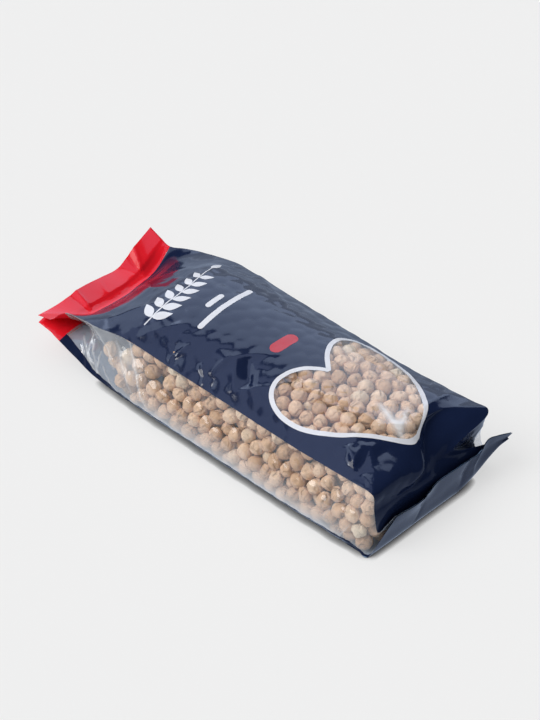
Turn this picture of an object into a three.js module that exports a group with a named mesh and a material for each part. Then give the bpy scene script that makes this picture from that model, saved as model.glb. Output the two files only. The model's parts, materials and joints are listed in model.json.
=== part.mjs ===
// A bag of chickpeas: a pouch of film with side gussets, lying on its back with its front panel up.
// The pouch is one closed solid. Units are millimetres, +Z is up, +Y runs towards the red header,
// and the side with x below zero is called the near side.
import * as THREE from "three";
import { mergeVertices } from "three/addons/utils/BufferGeometryUtils.js";

// Driving dimensions of the pouch as it lies
const frontHeight = 42;        // height of the front panel's long creases above the ground
const crown = 16;              // rise of the front panel between those creases
const creaseWidth = 95;        // between the long creases of the front panel
const backWidth = 107;         // between the long creases of the back panel
const sideBulge = 7;           // how far the filled gussets swell, widest low down
const filledLength = 200;      // from the bottom end to where the pouch starts to taper
const overallLength = 269;     // from the bottom end to the header's edge
const sealThickness = 2;       // films pressed together in the header and in the fin
const lipThickness = 0.7;      // each lip of a seal, beside the folded gusset
const slitWidth = 0.6;         // what stays open between a folded gusset's two halves
const gussetShare = 0.27;      // depth of a folded gusset as a share of the panel's width
const splitCurve = 1.5;        // a split seal opens towards its end by this power

// How finely the rows of each section are divided
const foldSteps = 5;
const middleSteps = 8;

// Shares of the width at which every row has a point: close together over the folded gussets
const shares = [];
for (let i = 0; i <= foldSteps; i += 1) {
  shares.push((gussetShare * i) / foldSteps);
}
for (let i = 1; i < middleSteps; i += 1) {
  shares.push(gussetShare + ((1 - 2 * gussetShare) * i) / middleSteps);
}
for (let i = foldSteps; i >= 0; i -= 1) {
  shares.push(1 - (gussetShare * i) / foldSteps);
}

// A row of points across the pouch, on a smooth curve through the given points
function row(points) {
  const curve = new THREE.CatmullRomCurve3(points.map((p) => new THREE.Vector3(...p)));
  return shares.map((share) => curve.getPointAt(share));
}

// The back row of a sealed section: the front row moved by the thickness, with its lips split apart
function sealedBack(front, toBack, nearSplit, farSplit) {
  return front.map((point, i) => {
    const near = Math.max(0, 1 - shares[i] / gussetShare);
    const far = Math.max(0, 1 - (1 - shares[i]) / gussetShare);
    const gap = sealThickness + nearSplit * near ** splitCurve + farSplit * far ** splitCurve;
    return point.clone().addScaledVector(toBack, gap);
  });
}

// How far a filled gusset swells, as a share, on its way down: 1 at two thirds of the way
const swelling = (g) => 6.75 * g * g * (1 - g);

// A swelling gusset: from the front crease out and round to the back crease
function swellingGusset(front, back, outward, bulge) {
  const path = [];
  const count = 2 * foldSteps + 2;
  for (let i = 1; i < count; i += 1) {
    const g = i / count;
    const point = front[0].clone().lerp(back[0], g);
    point.x += outward * bulge * swelling(g);
    path.push(point);
  }
  return path;
}

// A gusset folded inward: in under the front row, round the fold, and out again over the back row.
// Between wide-open lips it is a V, and in a seal it is a narrow slit.
function foldedGusset(front, back) {
  const under = [];
  const over = [];
  for (let i = 0; i < foldSteps; i += 1) {
    const gap = front[i].distanceTo(back[i]);
    const lip = lipThickness / gap;
    const slit = 0.5 - slitWidth / (2 * gap);
    const share = Math.min(lip + (0.5 * i) / foldSteps, slit);
    under.push(front[i].clone().lerp(back[i], share));
    over.unshift(back[i].clone().lerp(front[i], share));
  }
  const fold = front[foldSteps].clone().lerp(back[foldSteps], 0.5);
  return [...under, fold, ...over];
}

// A gusset between those two shapes: fold is 0 where it swells and 1 where it is folded inward
function gusset(front, back, outward, bulge, fold) {
  const folded = foldedGusset(front, back);
  return swellingGusset(front, back, outward, bulge).map((point, i) => point.lerp(folded[i], fold));
}

// One closed loop round the pouch: front row, far gusset, back row, near gusset
function loop(front, back, near, far) {
  const farFront = front.slice().reverse();
  const farBack = back.slice().reverse();
  const farPath = gusset(farFront, farBack, 1, far.bulge, far.fold);
  const nearPath = gusset(front, back, -1, near.bulge, near.fold);
  return [...front, ...farPath, ...farBack, ...nearPath.reverse()];
}

function openSection(frontPoints, backPoints, near, far) {
  return loop(row(frontPoints), row(backPoints), near, far);
}

function sealedSection(frontPoints, toBack, nearSplit, farSplit) {
  const front = row(frontPoints);
  const back = sealedBack(front, toBack, nearSplit, farSplit);
  const folded = { bulge: 0, fold: 1 };
  return loop(front, back, folded, folded);
}

// A section of the filled part at distance y from the bottom end, crowned between its creases
function filledSection(y, rise, backHeight, bulge) {
  const half = creaseWidth / 2;
  const front = [
    [-half, y, frontHeight - 0.5],
    [-0.58 * half, y, frontHeight + 0.7 * rise],
    [0, y, frontHeight + rise],
    [0.58 * half, y, frontHeight + 0.76 * rise],
    [half + 1, y, frontHeight + 1],
  ];
  const back = [
    [-backWidth / 2, y, backHeight],
    [backWidth / 2, y, backHeight],
  ];
  return openSection(front, back, { bulge, fold: 0 }, { bulge, fold: 0 });
}

const down = new THREE.Vector3(0, 0, -1);
const forward = new THREE.Vector3(0, -1, -0.1).normalize();
const edge = overallLength;

// Sections from the header's edge, over the filled part and down the bottom end, to the fin's edge
const sections = [
  // The header's edge sags in the middle, and its far corner stands up
  sealedSection([
    [-55, edge, 24.5], [-37, edge, 23.5], [-20, edge, 25], [-1, edge, 22.8], [9.6, edge, 21.5],
    [15.4, edge, 23.2], [28, edge, 30.8], [41.5, edge, 37.5],
  ], down, 5, 0.6),
  // The inner edge of the header's seal
  sealedSection([
    [-54.5, edge - 10.5, 27], [-38, edge - 11, 22.5], [-20, edge - 11.5, 21], [0, edge - 11.5, 20],
    [12, edge - 11, 20], [24, edge - 10.5, 24], [41.4, edge - 9, 34],
  ], down, 9.5, 2),
  // Where the red film ends, with the gussets pulled in between the two panels
  openSection([
    [-51.4, edge - 20.5, 36], [-44, edge - 20, 29], [-33.5, edge - 19.5, 22], [-20, edge - 19, 19],
    [0, edge - 19, 17.8], [11, edge - 18, 17.7], [28, edge - 17.5, 20.5], [41.5, edge - 17, 31.5],
  ], [[-55, edge - 18, 14.4], [-30, edge - 18, 14.5], [30, edge - 18, 14.5], [43, edge - 17, 18]],
  { bulge: 0, fold: 1 }, { bulge: 0, fold: 1 }),
  // The empty top of the pouch, sunk between its creases
  openSection([
    [-50.6, edge - 33, 38.5], [-35, edge - 32, 33], [-18, edge - 31, 29], [0, edge - 30, 28],
    [20, edge - 29, 28.5], [34, edge - 29, 31], [43.5, edge - 29, 35],
  ], [[-55, edge - 31, 10], [0, edge - 30, 9], [46, edge - 29, 10]],
  { bulge: 0, fold: 0.6 }, { bulge: 0, fold: 0.6 }),
  // The top of the filling
  openSection([
    [-50, edge - 49, 39.8], [-30, edge - 48, 41.5], [-5, edge - 47, 42.5], [20, edge - 46, 42],
    [45.5, edge - 44, 38.8],
  ], [[-55.3, edge - 47, 4.8], [0, edge - 47, 4], [49.5, edge - 45, 4.5]],
  { bulge: 1, fold: 0.15 }, { bulge: 1, fold: 0.15 }),
  filledSection(filledLength, 0.75 * crown, 0.3, 0.7 * sideBulge),
  filledSection(0.82 * filledLength, 0.97 * crown, 0, sideBulge),
  filledSection(0.55 * filledLength, crown, 0, sideBulge),
  filledSection(0.3 * filledLength, 0.94 * crown, 0, sideBulge),
  // The panel flattens towards the bottom end
  openSection([
    [-46.5, 22, 42], [-28, 22, 48.5], [-3, 22, 51], [20, 24, 49.5], [36, 22, 47], [51.5, 16, 43],
  ], [[-53, 22, 0], [52, 22, 0]], { bulge: 6, fold: 0 }, { bulge: 4, fold: 0 }),
  // The edge over the bottom end, with a dent that runs back in its far half
  openSection([
    [-47.5, 1.5, 43.2], [-28, 1.8, 43.9], [-16, 1.2, 40.5], [-5, 0.5, 37], [4, 9, 39],
    [15, 18, 41.4], [22, 19, 43], [31, 16, 44.5], [42, 7, 43.5], [51, 1, 41.4],
  ], [[-53, 14, 0], [51, 15, 0]], { bulge: 4, fold: 0 }, { bulge: 3, fold: 0 }),
  // Half-way down the bottom end
  openSection([
    [-46.5, 0.5, 29], [-28, 0.5, 28], [-10, 0.5, 27], [0, 1.5, 26], [10, 5, 26], [18, 6, 27],
    [25, 3.5, 29],
  ], [[-53, 6, 0], [50, 9, 0]], { bulge: 2, fold: 0 }, { bulge: 14, fold: 0 }),
  // The groove between the bottom end and the fin, and the fold along the ground
  openSection([
    [-44.6, -0.6, 13.5], [-30, -0.6, 10], [0, -0.6, 9], [20, 0, 10], [32, -0.5, 13],
    [42, -2, 18], [50, -3.5, 21], [58, -5, 20.5],
  ], [
    [-53, -1, 0], [-36, -1.5, 0], [-11, -1.5, 0], [10, -2, 0], [28, -2.5, 1.2], [38, -3, 5],
    [46.8, -4.5, 12], [54, -6, 17.5], [60, -6.5, 18.5],
  ], { bulge: 0, fold: 0.3 }, { bulge: 0, fold: 1 }),
  // The fin, turned up against the bottom end
  sealedSection([
    [-38, -1.8, 16], [-20, -2.4, 11.5], [0, -2.4, 11], [20, -2.4, 12], [32, -2.8, 13],
    [42, -3.5, 20], [50, -5, 23.5], [61, -6, 21.5],
  ], forward, 1.5, 0.3),
  // The fin's edge, with its far end twisted up and out
  sealedSection([
    [-32.5, -2.8, 19.4], [-10, -4.4, 19], [3, -2.6, 21.5], [23.5, -3, 21.5], [37, -3.6, 21],
    [45.5, -5, 29], [52, -6, 28], [64, -7, 23.5],
  ], forward, 0.5, 0.2),
];

// Number of steps from each section to the next, the two seals first and last
const headerSteps = 3;
const steps = [4, 4, 5, 6, 8, 10, 10, 8, 6, 6, 5, 5];
const finSteps = 4;

// A seal's straight strip between two sections, without the second one
function strip(from, to, count) {
  const loops = [];
  for (let j = 0; j < count; j += 1) {
    loops.push(from.map((point, i) => point.clone().lerp(to[i], j / count)));
  }
  return loops;
}

// All loops: the header's strip, smooth curves through each point of the sections, the fin's strip
function loftedLoops() {
  const inner = sections.slice(1, -1);
  const rails = inner[0].map((point, i) => {
    const line = inner.map((section) => section[i]);
    return new THREE.CatmullRomCurve3(line, false, "catmullrom");
  });
  const loops = strip(sections[0], inner[0], headerSteps);
  steps.forEach((count, k) => {
    for (let j = 0; j < count; j += 1) {
      const t = (k + j / count) / steps.length;
      loops.push(rails.map((rail) => rail.getPoint(t)));
    }
  });
  loops.push(...strip(inner.at(-1), sections.at(-1), finSteps));
  loops.push(sections.at(-1));
  return loops;
}

// Triangles that close one end of the pouch, between the rows and the lips of its loop.
// They face back along the loops, as the header's end needs, and the fin's end turns them round.
function capTriangles() {
  const last = shares.length - 1;
  const pathLength = 2 * foldSteps + 1;
  const farPath = last + 1;
  const backRow = farPath + pathLength;
  const nearPath = backRow + last + 1;
  const front = (i) => i;
  const back = (i) => backRow + last - i;
  const under = (i) => (i <= foldSteps ? nearPath + pathLength - 1 - i : farPath + last - i);
  const over = (i) => (i <= foldSteps ? nearPath + i : farPath + pathLength - 1 - (last - i));
  const triangles = [];
  const quad = (a, b, c, d) => triangles.push([a, b, c], [a, c, d]);
  for (let i = 0; i < last; i += 1) {
    const besideNearFold = i === foldSteps;
    const besideFarFold = i + 1 === last - foldSteps;
    if (i < foldSteps || i >= last - foldSteps) {
      quad(front(i), front(i + 1), under(i + 1), under(i));
      quad(over(i), over(i + 1), back(i + 1), back(i));
    } else if (besideNearFold) {
      quad(front(i), front(i + 1), back(i + 1), under(i));
      triangles.push([under(i), back(i + 1), back(i)]);
    } else if (besideFarFold) {
      quad(front(i), front(i + 1), under(i + 1), back(i));
      triangles.push([under(i + 1), back(i + 1), back(i)]);
    } else {
      quad(front(i), front(i + 1), back(i + 1), back(i));
    }
  }
  return triangles;
}

function pouchGeometry() {
  const loops = loftedLoops();
  const size = loops[0].length;
  const positions = [];
  for (const points of loops) {
    for (const point of points) {
      positions.push(point.x, point.y, Math.max(point.z, 0));
    }
  }
  const index = [];
  for (let k = 0; k < loops.length - 1; k += 1) {
    for (let i = 0; i < size; i += 1) {
      const next = (i + 1) % size;
      const a = k * size + i;
      const b = k * size + next;
      const c = a + size;
      const d = b + size;
      index.push(a, c, b, b, c, d);
    }
  }
  const lastLoop = (loops.length - 1) * size;
  for (const [a, b, c] of capTriangles()) {
    index.push(a, b, c);
    index.push(lastLoop + a, lastLoop + c, lastLoop + b);
  }
  const geometry = new THREE.BufferGeometry();
  geometry.setAttribute("position", new THREE.Float32BufferAttribute(positions, 3));
  geometry.setIndex(index);
  return mergeVertices(geometry, 1e-4);
}

const film = new THREE.MeshStandardMaterial({ color: 0x2a3350, roughness: 0.2, metalness: 0 });
const geometry = pouchGeometry();

// The origin is the middle of the ground under the pouch's bounding box
geometry.computeBoundingBox();
const middle = geometry.boundingBox.getCenter(new THREE.Vector3());
geometry.translate(-middle.x, -middle.y, -geometry.boundingBox.min.z);

const bag = new THREE.Mesh(geometry, film);
bag.name = "bag";

const pouch = new THREE.Group();
pouch.add(bag);
export default pouch;
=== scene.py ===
# %% [markdown]
# A bag of chickpeas, lying on its back. The real thing is a pouch of thin printed film: a navy front
# and back panel, clear side gussets, a red header that is sealed flat, and a bottom seal that is
# folded up as a fin. The solid from the CAD step has the pouch's outer form. This lesson replaces
# it with sheets of film that have no thickness of their own, and with the chickpeas inside them.

# %% Load the frame and note its size
import bpy
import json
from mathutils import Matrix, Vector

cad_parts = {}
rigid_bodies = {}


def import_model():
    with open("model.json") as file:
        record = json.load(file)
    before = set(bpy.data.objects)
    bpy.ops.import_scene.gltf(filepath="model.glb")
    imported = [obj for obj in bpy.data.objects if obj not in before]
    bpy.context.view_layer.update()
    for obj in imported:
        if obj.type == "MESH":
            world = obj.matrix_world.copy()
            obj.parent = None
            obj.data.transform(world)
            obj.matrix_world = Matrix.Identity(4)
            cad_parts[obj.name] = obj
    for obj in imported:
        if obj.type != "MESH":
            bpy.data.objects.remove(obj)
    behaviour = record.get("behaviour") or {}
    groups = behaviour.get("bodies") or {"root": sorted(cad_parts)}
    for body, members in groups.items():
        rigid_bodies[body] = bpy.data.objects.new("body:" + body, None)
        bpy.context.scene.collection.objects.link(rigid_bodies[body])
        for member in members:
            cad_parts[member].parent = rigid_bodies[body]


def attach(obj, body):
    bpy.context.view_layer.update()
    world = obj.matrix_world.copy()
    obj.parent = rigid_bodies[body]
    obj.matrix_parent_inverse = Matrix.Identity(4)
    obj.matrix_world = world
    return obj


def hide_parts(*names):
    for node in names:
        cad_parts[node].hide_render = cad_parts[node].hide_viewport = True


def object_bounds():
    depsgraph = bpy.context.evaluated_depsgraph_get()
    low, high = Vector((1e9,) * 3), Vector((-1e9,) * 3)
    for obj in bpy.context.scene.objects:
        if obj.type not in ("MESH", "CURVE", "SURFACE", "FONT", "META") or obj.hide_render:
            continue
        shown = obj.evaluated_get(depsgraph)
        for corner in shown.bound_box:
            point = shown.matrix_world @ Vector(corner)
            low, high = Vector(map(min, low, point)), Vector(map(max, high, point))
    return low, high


for leftover in list(bpy.data.objects):
    bpy.data.objects.remove(leftover)
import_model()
cad_low, cad_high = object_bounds()

import json
import math

import numpy as np
from mathutils import Vector, noise
from mathutils.bvhtree import BVHTree
from mathutils.kdtree import KDTree

MM = 0.001


def new_object(name, data):
    """An object in the scene, made from its data."""
    made = bpy.data.objects.new(name, data)
    bpy.context.scene.collection.objects.link(made)
    return made


print("CAD box in mm:", [round(v / MM, 1) for v in (*cad_low, *cad_high)])

# %% [markdown]
# The camera comes first, because every later choice is judged through it. The photograph looks down
# at about 41 degrees, from the near bottom corner, with a long lens that hardly shows perspective.
# The aim is the point of the pouch that lies in the middle of the picture.

# %% Camera
CAMERA_TURN = math.radians(43.7)
CAMERA_TILT = math.radians(40.9)
CAMERA_DISTANCE = 1.8
CAMERA_LENS = 158.1
CAMERA_AIM = Vector((-0.0402, -0.0393, 0.0843))


def make_camera():
    """A camera that looks along its turn and tilt at the aim point."""
    data = bpy.data.cameras.new("camera")
    data.sensor_width = 36.0
    data.lens = CAMERA_LENS
    data.clip_start = 0.1
    data.clip_end = 20.0
    camera = new_object("camera", data)
    level = math.cos(CAMERA_TILT)
    look = Vector((
        level * math.cos(CAMERA_TURN),
        level * math.sin(CAMERA_TURN),
        -math.sin(CAMERA_TILT),
    ))
    camera.location = CAMERA_AIM - look * CAMERA_DISTANCE
    camera.rotation_euler = look.to_track_quat("-Z", "Y").to_euler()
    bpy.context.scene.camera = camera
    return camera


camera = make_camera()
print("camera at", [round(v, 3) for v in camera.location])

# %% [markdown]
# The film could be a box that is inflated by a cloth simulation, but then its folds would land
# anywhere. Here it is a loft, as in the CAD step: closed loops of points round the pouch, one after
# another from the header's edge to the fin's edge. The loops use the same driving sizes as the
# solid, in millimetres, so the film keeps its form, but they have far more points and thin seals.

# %% Sizes of the pouch, in millimetres
FRONT_HEIGHT = 42.0
CROWN = 16.0
CREASE_WIDTH = 95.0
BACK_WIDTH = 107.0
SIDE_BULGE = 7.0
FILLED_LENGTH = 200.0
EDGE = 269.0
GUSSET_SHARE = 0.27
SHOULDER = 0.58
SEAL_THICKNESS = 0.7
LIP_THICKNESS = 0.2
SLIT_WIDTH = 0.25
SPLIT_CURVE = 1.5

FOLD_STEPS = 27
MIDDLE_STEPS = 46
STEP_LENGTH = 1.15

near_shares = np.linspace(0.0, GUSSET_SHARE, FOLD_STEPS + 1)
middle_shares = np.linspace(GUSSET_SHARE, 1 - GUSSET_SHARE, MIDDLE_STEPS + 1)[1:-1]
SHARES = np.concatenate([near_shares, middle_shares, 1 - near_shares[::-1]])
ACROSS = len(SHARES)
PATH = 2 * FOLD_STEPS + 1
print("points across a panel:", ACROSS, "and down a gusset:", PATH)


# %% Rows and loops
def smooth_line(points, per_span=40):
    """Many points on a smooth curve through a few, with its knots spaced by the root of distance."""
    p = np.array(points, float)
    p = np.vstack([2 * p[0] - p[1], p, 2 * p[-1] - p[-2]])
    line = []
    for i in range(1, len(p) - 2):
        a, b, c, d = p[i - 1], p[i], p[i + 1], p[i + 2]
        k1 = np.linalg.norm(b - a) ** 0.5
        k2 = k1 + np.linalg.norm(c - b) ** 0.5
        k3 = k2 + np.linalg.norm(d - c) ** 0.5
        t = np.linspace(k1, k2, per_span, endpoint=False)[:, None]
        ab = (k1 - t) / k1 * a + t / k1 * b
        bc = (k2 - t) / (k2 - k1) * b + (t - k1) / (k2 - k1) * c
        cd = (k3 - t) / (k3 - k2) * c + (t - k2) / (k3 - k2) * d
        abc = (k2 - t) / k2 * ab + t / k2 * bc
        bcd = (k3 - t) / (k3 - k1) * bc + (t - k1) / (k3 - k1) * cd
        line.append((k2 - t) / (k2 - k1) * abc + (t - k1) / (k2 - k1) * bcd)
    return np.vstack([*line, p[-2:-1]])


def row(points):
    """A row across the pouch: points at SHARES of its length."""
    line = np.array(points, float) if len(points) == 2 else smooth_line(points)
    far = np.concatenate([[0.0], np.cumsum(np.linalg.norm(np.diff(line, axis=0), axis=1))])
    at = SHARES * far[-1]
    return np.stack([np.interp(at, far, line[:, k]) for k in range(3)], axis=1)


# %% Gussets
BULGE_PEAK = 6.75


def swelling_gusset(front, back, outward, bulge):
    """A gusset that bulges outwards, most at a third of its height over the ground."""
    g = (np.arange(1, PATH + 1) / (PATH + 1))[:, None]
    path = front[0] * (1 - g) + back[0] * g
    path[:, 0] += (outward * bulge * BULGE_PEAK * g * g * (1 - g))[:, 0]
    return path


def folded_gusset(front, back):
    """In under the front row, round the fold and out again over the back row."""
    f, b = front[:FOLD_STEPS], back[:FOLD_STEPS]
    gap = np.linalg.norm(f - b, axis=1)[:, None]
    inward = (0.5 * np.arange(FOLD_STEPS) / FOLD_STEPS)[:, None]
    share = np.minimum(LIP_THICKNESS / gap + inward, 0.5 - SLIT_WIDTH / (2 * gap))
    fold = (front[FOLD_STEPS] + back[FOLD_STEPS]) / 2
    under = f + (b - f) * share
    over = b + (f - b) * share
    return np.vstack([under, fold, over[::-1]])


def gusset(front, back, outward, bulge, fold):
    """Between a gusset that bulges (fold 0) and one that is folded in (fold 1)."""
    path = swelling_gusset(front, back, outward, bulge)
    return path + (folded_gusset(front, back) - path) * fold


def loop(front, back, near, far):
    """Front row, far gusset, back row and near gusset; near and far are (bulge, fold)."""
    far_path = gusset(front[::-1], back[::-1], 1, *far)
    near_path = gusset(front, back, -1, *near)
    return np.vstack([front, far_path, back[::-1], near_path[::-1]])


# %% Kinds of section
def open_section(front, back, near, far):
    return loop(row(front), row(back), near, far)


def sealed_section(points, to_back, near_split, far_split):
    """A section that is pressed flat, with lips that split apart towards its two ends."""
    front = row(points)
    near = np.maximum(0, 1 - SHARES / GUSSET_SHARE) ** SPLIT_CURVE
    far = np.maximum(0, 1 - (1 - SHARES) / GUSSET_SHARE) ** SPLIT_CURVE
    gap = SEAL_THICKNESS + near_split * near + far_split * far
    back = front + np.array(to_back) * gap[:, None]
    return loop(front, back, (0, 1), (0, 1))


def filled_section(y, rise, back_height, bulge):
    """A section of the filled part: a crowned front over a flat back."""
    half = CREASE_WIDTH / 2
    front = [
        (-half, y, FRONT_HEIGHT - 0.5),
        (-SHOULDER * half, y, FRONT_HEIGHT + 0.7 * rise),
        (0, y, FRONT_HEIGHT + rise),
        (SHOULDER * half, y, FRONT_HEIGHT + 0.76 * rise),
        (half + 1, y, FRONT_HEIGHT + 1),
    ]
    back = [(-BACK_WIDTH / 2, y, back_height), (BACK_WIDTH / 2, y, back_height)]
    return open_section(front, back, (bulge, 0), (bulge, 0))


# %% [markdown]
# The sections follow the photograph from the header to the fin: the sagging header with its raised
# far corner, the empty top where the gussets are pulled in, the filled part, the dent over the
# bottom end, and the fin, whose far end is twisted up and out.

# %% Sections of the pouch
DOWN = (0.0, 0.0, -1.0)
FORWARD = (0.0, -0.995, -0.0995)

sections = [
    sealed_section([
        (-55, EDGE, 24.5), (-37, EDGE, 23.5), (-20, EDGE, 25), (-1, EDGE, 22.8),
        (9.6, EDGE, 21.5), (15.4, EDGE, 23.2), (28, EDGE, 30.8), (41.5, EDGE, 37.5),
    ], DOWN, 5, 0.6),
    sealed_section([
        (-54.5, EDGE - 10.5, 27), (-38, EDGE - 11, 22.5), (-20, EDGE - 11.5, 21),
        (0, EDGE - 11.5, 20), (12, EDGE - 11, 20), (24, EDGE - 10.5, 24), (41.4, EDGE - 9, 34),
    ], DOWN, 9.5, 2),
    open_section([
        (-51.4, EDGE - 20.5, 36), (-44, EDGE - 20, 29), (-33.5, EDGE - 19.5, 22),
        (-20, EDGE - 19, 19), (0, EDGE - 19, 17.8), (11, EDGE - 18, 17.7),
        (28, EDGE - 17.5, 20.5), (41.5, EDGE - 17, 31.5),
    ], [
        (-55, EDGE - 18, 14.4), (-30, EDGE - 18, 14.5), (30, EDGE - 18, 14.5),
        (43, EDGE - 17, 18),
    ], (0, 1), (0, 1)),
    open_section([
        (-50.6, EDGE - 33, 38.5), (-35, EDGE - 32, 33), (-18, EDGE - 31, 29),
        (0, EDGE - 30, 28), (20, EDGE - 29, 28.5), (34, EDGE - 29, 31), (43.5, EDGE - 29, 35),
    ], [
        (-55, EDGE - 31, 10), (0, EDGE - 30, 9), (46, EDGE - 29, 10),
    ], (0, 0.6), (0, 0.6)),
    open_section([
        (-50, EDGE - 49, 39.8), (-30, EDGE - 48, 41.5), (-5, EDGE - 47, 42.5),
        (20, EDGE - 46, 42), (45.5, EDGE - 44, 38.8),
    ], [
        (-55.3, EDGE - 47, 4.8), (0, EDGE - 47, 4), (49.5, EDGE - 45, 4.5),
    ], (1, 0.15), (1, 0.15)),
    filled_section(FILLED_LENGTH, 0.75 * CROWN, 0.3, 0.7 * SIDE_BULGE),
    filled_section(0.82 * FILLED_LENGTH, 0.97 * CROWN, 0, SIDE_BULGE),
    filled_section(0.55 * FILLED_LENGTH, CROWN, 0, SIDE_BULGE),
    filled_section(0.3 * FILLED_LENGTH, 0.94 * CROWN, 0, SIDE_BULGE),
    open_section([
        (-46.5, 22, 42), (-28, 22, 48.5), (-3, 22, 51), (20, 24, 49.5), (36, 22, 47),
        (51.5, 16, 43),
    ], [(-53, 22, 0), (52, 22, 0)], (6, 0), (4, 0)),
    open_section([
        (-47.5, 1.5, 43.2), (-28, 1.8, 43.9), (-16, 1.2, 40.5), (-5, 0.5, 37), (4, 9, 39),
        (15, 18, 41.4), (22, 19, 43), (31, 16, 44.5), (42, 7, 43.5), (51, 1, 41.4),
    ], [(-53, 14, 0), (51, 15, 0)], (4, 0), (3, 0)),
    open_section([
        (-46.5, 0.5, 29), (-28, 0.5, 28), (-10, 0.5, 27), (0, 1.5, 26), (10, 5, 26),
        (18, 6, 27), (25, 3.5, 29),
    ], [(-53, 6, 0), (50, 9, 0)], (2, 0), (14, 0)),
    open_section([
        (-44.6, -0.6, 13.5), (-30, -0.6, 10), (0, -0.6, 9), (20, 0, 10), (32, -0.5, 13),
        (42, -2, 18), (50, -3.5, 21), (58, -5, 20.5),
    ], [
        (-53, -1, 0), (-36, -1.5, 0), (-11, -1.5, 0), (10, -2, 0), (28, -2.5, 1.2),
        (38, -3, 5), (46.8, -4.5, 12), (54, -6, 17.5), (60, -6.5, 18.5),
    ], (0, 0.3), (0, 1)),
    sealed_section([
        (-38, -1.8, 16), (-20, -2.4, 11.5), (0, -2.4, 11), (20, -2.4, 12), (32, -2.8, 13),
        (42, -3.5, 20), (50, -5, 23.5), (61, -6, 21.5),
    ], FORWARD, 1.5, 0.3),
    sealed_section([
        (-32.5, -2.8, 19.4), (-10, -4.4, 19), (3, -2.6, 21.5), (23.5, -3, 21.5),
        (37, -3.6, 21), (45.5, -5, 29), (52, -6, 28), (64, -7, 23.5),
    ], FORWARD, 0.5, 0.2),
]
print("sections:", len(sections), "with", len(sections[0]), "points each")

# %% [markdown]
# The loops between two sections follow a curve that passes through every section with no kink. Over
# the header and the fin the loops run straight, because sealed film is flat along its length.

# %% Loft the loops
def lofted(sections):
    """Loops about STEP_LENGTH apart: straight over the two seals, smooth curves between them."""
    loops = []
    starts = []
    last = len(sections) - 2
    for k in range(len(sections) - 1):
        b, c = sections[k], sections[k + 1]
        starts.append(len(loops))
        middle = slice(FOLD_STEPS, ACROSS - FOLD_STEPS)
        length = np.linalg.norm(c[middle] - b[middle], axis=1).mean()
        count = max(4, round(length / STEP_LENGTH))
        for t in np.arange(count) / count:
            if k in (0, last):
                loops.append(b + (c - b) * t)
                continue
            a = sections[k - 1] if k > 1 else 2 * b - c
            d = sections[k + 2] if k < last - 1 else 2 * c - b
            slope_b, slope_c = (c - a) / 2, (d - b) / 2
            loops.append(
                (2 * t**3 - 3 * t**2 + 1) * b + (t**3 - 2 * t**2 + t) * slope_b
                + (3 * t**2 - 2 * t**3) * c + (t**3 - t**2) * slope_c
            )
    loops.append(sections[-1])
    starts.append(len(loops) - 1)
    made = np.array(loops)
    made[:, :, 2] = np.maximum(made[:, :, 2], 0)
    return made, starts


loops, section_starts = lofted(sections)
moved = loops.reshape(-1, 3).max(0) - np.array(cad_high) / MM
film = loops - np.array([moved[0], moved[1], 0])
FRONT = np.arange(ACROSS)
FAR = np.arange(ACROSS - 1, ACROSS + PATH + 1)
BACK = np.arange(ACROSS + PATH, 2 * ACROSS + PATH)
NEAR = np.append(np.arange(2 * ACROSS + PATH - 1, 2 * (ACROSS + PATH)), 0)
print("loops:", len(film), "moved by", moved.round(2))

# %% [markdown]
# Two measures of the film are needed again and again: which way it faces at a point, and how far
# from the header's edge the point lies. Both come from the differences between neighbours.

# %% Measure the film
def film_normals(grid):
    """Outward normals of the closed loops, from the differences along and across them."""
    across = np.roll(grid, -1, axis=1) - np.roll(grid, 1, axis=1)
    along = np.gradient(grid, axis=0)
    normal = np.cross(along, across)
    size = np.linalg.norm(normal, axis=2, keepdims=True)
    return normal / np.maximum(size, 1e-9)


def lengths_along(grid, column):
    """Distance along one column of the film, from the header's edge."""
    steps = np.linalg.norm(np.diff(grid[:, column], axis=0), axis=1)
    return np.concatenate([[0.0], np.cumsum(steps)])


PANEL_WIDTH = 103.0
GUSSET_HEIGHT = 48
ALONG = lengths_along(film, ACROSS // 2)
print("film from edge to edge:", round(ALONG[-1]), "mm")

# %% [markdown]
# A real film is never as smooth as a loft. It crumples where the filling stops pushing on it. The
# crumples are added as displacement along the film's normal. Most come from seeded noise that is
# folded at zero: that gives the straight valleys and flat facets of creased film, where plain noise
# would give soft hills. The few folds that catch the eye in the photograph are placed one by one.

# %% Noise and creases
def noise_at(points, wavelength, seed):
    """Smooth noise from about -1 to 1 at every point of a grid."""
    shift = Vector((7.31 * seed, 3.77 * seed, 5.19 * seed))
    places = (points.reshape(-1, 3) / wavelength).tolist()
    return np.array([noise.noise(Vector(p) + shift) for p in places]).reshape(points.shape[:2])


def ridges(points, wavelength, seed):
    """Noise folded at zero: sharp crests between smooth hollows."""
    return 0.3 - 1.6 * np.abs(noise_at(points, wavelength, seed))


def crease(start, end, depth, width, panel=None):
    """A straight sharp fold on a panel, from start to end as (across, along)."""
    panel = PANEL if panel is None else panel
    start, end = np.array(start, float), np.array(end, float)
    line = end - start
    share = np.clip(((panel - start) @ line) / (line @ line), 0, 1)
    away = np.linalg.norm(panel - start - share[..., None] * line, axis=2)
    return depth * np.exp(-away / width) * np.sqrt(4 * share * (1 - share) + 1e-9)


PANEL = np.stack(np.meshgrid((SHARES - 0.5) * PANEL_WIDTH, ALONG), axis=2)
print("points of the front panel, along and across:", PANEL.shape[:2])

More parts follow.
